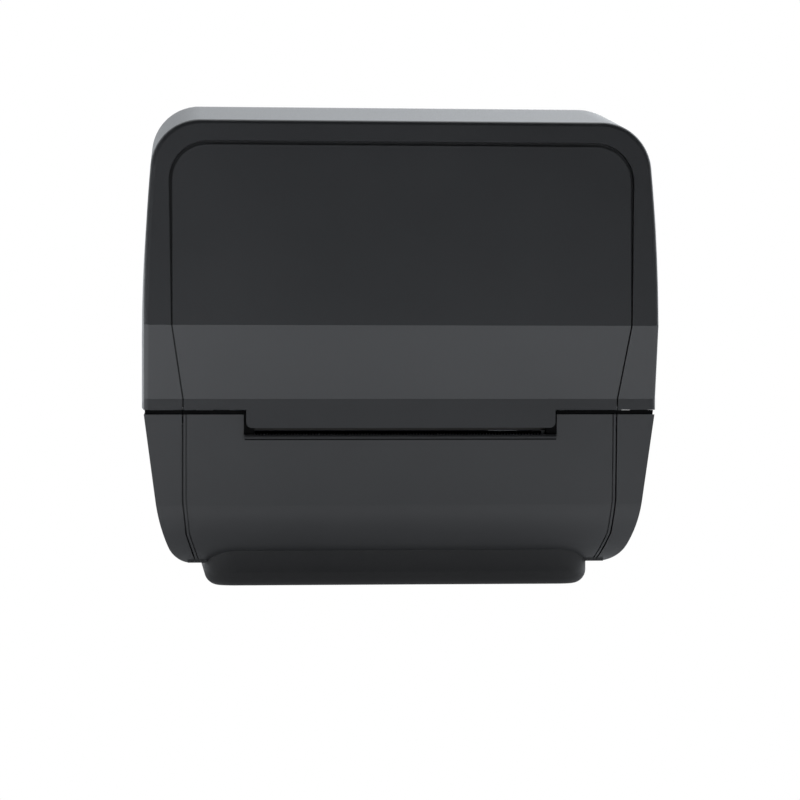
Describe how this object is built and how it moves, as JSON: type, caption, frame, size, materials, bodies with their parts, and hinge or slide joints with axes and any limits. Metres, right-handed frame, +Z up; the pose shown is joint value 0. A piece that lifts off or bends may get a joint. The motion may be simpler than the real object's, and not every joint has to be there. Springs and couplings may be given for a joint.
{
  "type": "thermal label printer",
  "caption": "Desktop thermal transfer label printer with a hinged lid, media roll bay, platen and gear train, ribbon hubs and a label exit slot across the front.",
  "frame": {"origin": "centre of the footprint, on the surface the feet stand on", "axes": "+X to the right seen from the front, the front faces -Y, +Z up"},
  "size_m": [0.2002, 0.267, 0.191],
  "materials": {
    "housing_charcoal": "satin",
    "plinth_black": "satin",
    "rubber_black": "matte",
    "inner_grey": "matte",
    "holder_blue_grey": "matte",
    "latch_grey": "satin",
    "gear_white": "satin",
    "steel": "satin",
    "brass": "satin",
    "aluminium_fins": "satin",
    "ceramic_head": "glazed",
    "board_green": "satin",
    "socket_black": "satin",
    "socket_metal": "satin",
    "button_dark": "satin",
    "light_lens": "gloss"
  },
  "bodies": {
    "base": {"base_front_panel": "housing_charcoal", "base_pan": "plinth_black", "base_side_left": "housing_charcoal", "base_side_right": "housing_charcoal", "bay_wall_left": "inner_grey", "bay_wall_right": "inner_grey", "dc_inlet": "socket_black", "guide_axle": "steel", "idler_axle": "steel", "main_board": "board_green", "media_trough": "inner_grey", "motor_screws": "steel", "network_port": "socket_metal", "platen_bearings": "gear_white", "plinth": "plinth_black", "rear_panel": "housing_charcoal", "rubber_feet": "rubber_black", "sensor_rail": "inner_grey", "stepper_motor": "steel", "switch_bezel": "socket_black", "tear_bar": "steel", "usb_port": "socket_metal"},
    "lid": {"lid_shell": "housing_charcoal", "lid_front_panel": "housing_charcoal", "lid_frame_left": "inner_grey", "lid_frame_right": "inner_grey", "lid_cross_plate": "inner_grey", "hinge_pins": "steel", "transfer_axles": "steel", "head_pivot": "steel", "button_board": "board_green", "status_light": "light_lens"},
    "platen": {"platen_shaft": "steel", "platen_rubber": "rubber_black", "platen_gear": "gear_white"},
    "idler": {"idler_gear": "gear_white"},
    "motor_rotor": {"motor_pinion": "brass", "motor_shaft": "steel"},
    "latch": {"latch_shaft": "steel", "latch_lever_left": "latch_grey", "latch_lever_right": "latch_grey"},
    "holder_left": {"roll_holder_left": "holder_blue_grey"},
    "holder_right": {"roll_holder_right": "holder_blue_grey"},
    "guide_pinion": {"guide_pinion": "gear_white"},
    "sensor": {"media_sensor": "holder_blue_grey"},
    "rocker": {"power_rocker": "socket_black"},
    "feed_button": {"feed_button": "button_dark"},
    "printhead": {"printhead_bar": "ceramic_head", "printhead_heatsink": "aluminium_fins"},
    "transfer_lower": {"transfer_gear_lower": "gear_white"},
    "transfer_upper": {"transfer_gear_upper": "gear_white"},
    "takeup": {"takeup_gear": "gear_white", "takeup_hub_left": "gear_white"},
    "takeup_far": {"takeup_hub_right": "gear_white"},
    "supply_near": {"supply_hub_left": "gear_white"},
    "supply_far": {"supply_hub_right": "gear_white"}
  },
  "joints": [
    {"name": "lid_hinge", "type": "hinge", "parent": "base", "child": "lid", "pos_m": [0, 0.119, 0.0833], "axis": [-1, 0, 0], "range_deg": [0, 90]},
    {"name": "platen_spin", "type": "hinge", "parent": "base", "child": "platen", "pos_m": [0, -0.107, 0.0525], "axis": [1, 0, 0], "continuous": true},
    {"name": "idler_spin", "type": "hinge", "parent": "base", "child": "idler", "pos_m": [0, -0.08463, 0.0397], "axis": [1, 0, 0], "continuous": true},
    {"name": "motor_spin", "type": "hinge", "parent": "base", "child": "motor_rotor", "pos_m": [0, -0.06413, 0.03231], "axis": [1, 0, 0], "continuous": true},
    {"name": "transfer_lower_spin", "type": "hinge", "parent": "lid", "child": "transfer_lower", "pos_m": [0, -0.104, 0.07812], "axis": [1, 0, 0], "continuous": true},
    {"name": "transfer_upper_spin", "type": "hinge", "parent": "lid", "child": "transfer_upper", "pos_m": [0, -0.098, 0.10976], "axis": [1, 0, 0], "continuous": true},
    {"name": "takeup_spin", "type": "hinge", "parent": "lid", "child": "takeup", "pos_m": [0, -0.092, 0.13977], "axis": [1, 0, 0], "continuous": true},
    {"name": "takeup_far_spin", "type": "hinge", "parent": "lid", "child": "takeup_far", "pos_m": [0, -0.092, 0.13977], "axis": [1, 0, 0], "continuous": true},
    {"name": "supply_near_spin", "type": "hinge", "parent": "lid", "child": "supply_near", "pos_m": [0, -0.048, 0.124], "axis": [1, 0, 0], "continuous": true},
    {"name": "supply_far_spin", "type": "hinge", "parent": "lid", "child": "supply_far", "pos_m": [0, -0.048, 0.124], "axis": [1, 0, 0], "continuous": true},
    {"name": "printhead_lift", "type": "hinge", "parent": "lid", "child": "printhead", "pos_m": [0, -0.088, 0.076], "axis": [-1, 0, 0], "range_deg": [0, 3]},
    {"name": "feed_press", "type": "slide", "parent": "lid", "child": "feed_button", "axis": [0, 0, -1], "range_m": [0, 0.0012], "stiffness_N_per_m": 400, "springref_m": -0.0005},
    {"name": "latch_pull", "type": "hinge", "parent": "base", "child": "latch", "pos_m": [0, -0.04, 0.046], "axis": [1, 0, 0], "range_deg": [0, 14], "stiffness_Nm_per_rad": 0.4, "springref_deg": -8.59},
    {"name": "holder_left_slide", "type": "slide", "parent": "base", "child": "holder_left", "axis": [1, 0, 0], "range_m": [0, 0.043]},
    {"name": "holder_right_slide", "type": "slide", "parent": "base", "child": "holder_right", "axis": [-1, 0, 0], "range_m": [0, 0.043]},
    {"name": "guide_pinion_spin", "type": "hinge", "parent": "base", "child": "guide_pinion", "pos_m": [0, 0.04, 0.0165], "axis": [0, 0, 1], "range_deg": [0, 520]},
    {"name": "sensor_slide", "type": "slide", "parent": "base", "child": "sensor", "axis": [1, 0, 0], "range_m": [-0.042, 0.042]},
    {"name": "power_rocker_tip", "type": "hinge", "parent": "base", "child": "rocker", "pos_m": [0, 0.125, 0.033], "axis": [-1, 0, 0], "range_deg": [0, 10]}
  ],
  "couplings": [
    {"joint": "idler_spin", "follows": "platen_spin", "ratio": -0.6},
    {"joint": "motor_spin", "follows": "platen_spin", "ratio": 1.7143},
    {"joint": "transfer_lower_spin", "follows": "platen_spin", "ratio": -0.6},
    {"joint": "transfer_upper_spin", "follows": "platen_spin", "ratio": 0.6},
    {"joint": "takeup_spin", "follows": "platen_spin", "ratio": -0.66667},
    {"joint": "holder_right_slide", "follows": "holder_left_slide", "ratio": 1},
    {"joint": "guide_pinion_spin", "follows": "holder_left_slide", "rad_per_m": 208.33}
  ]
}
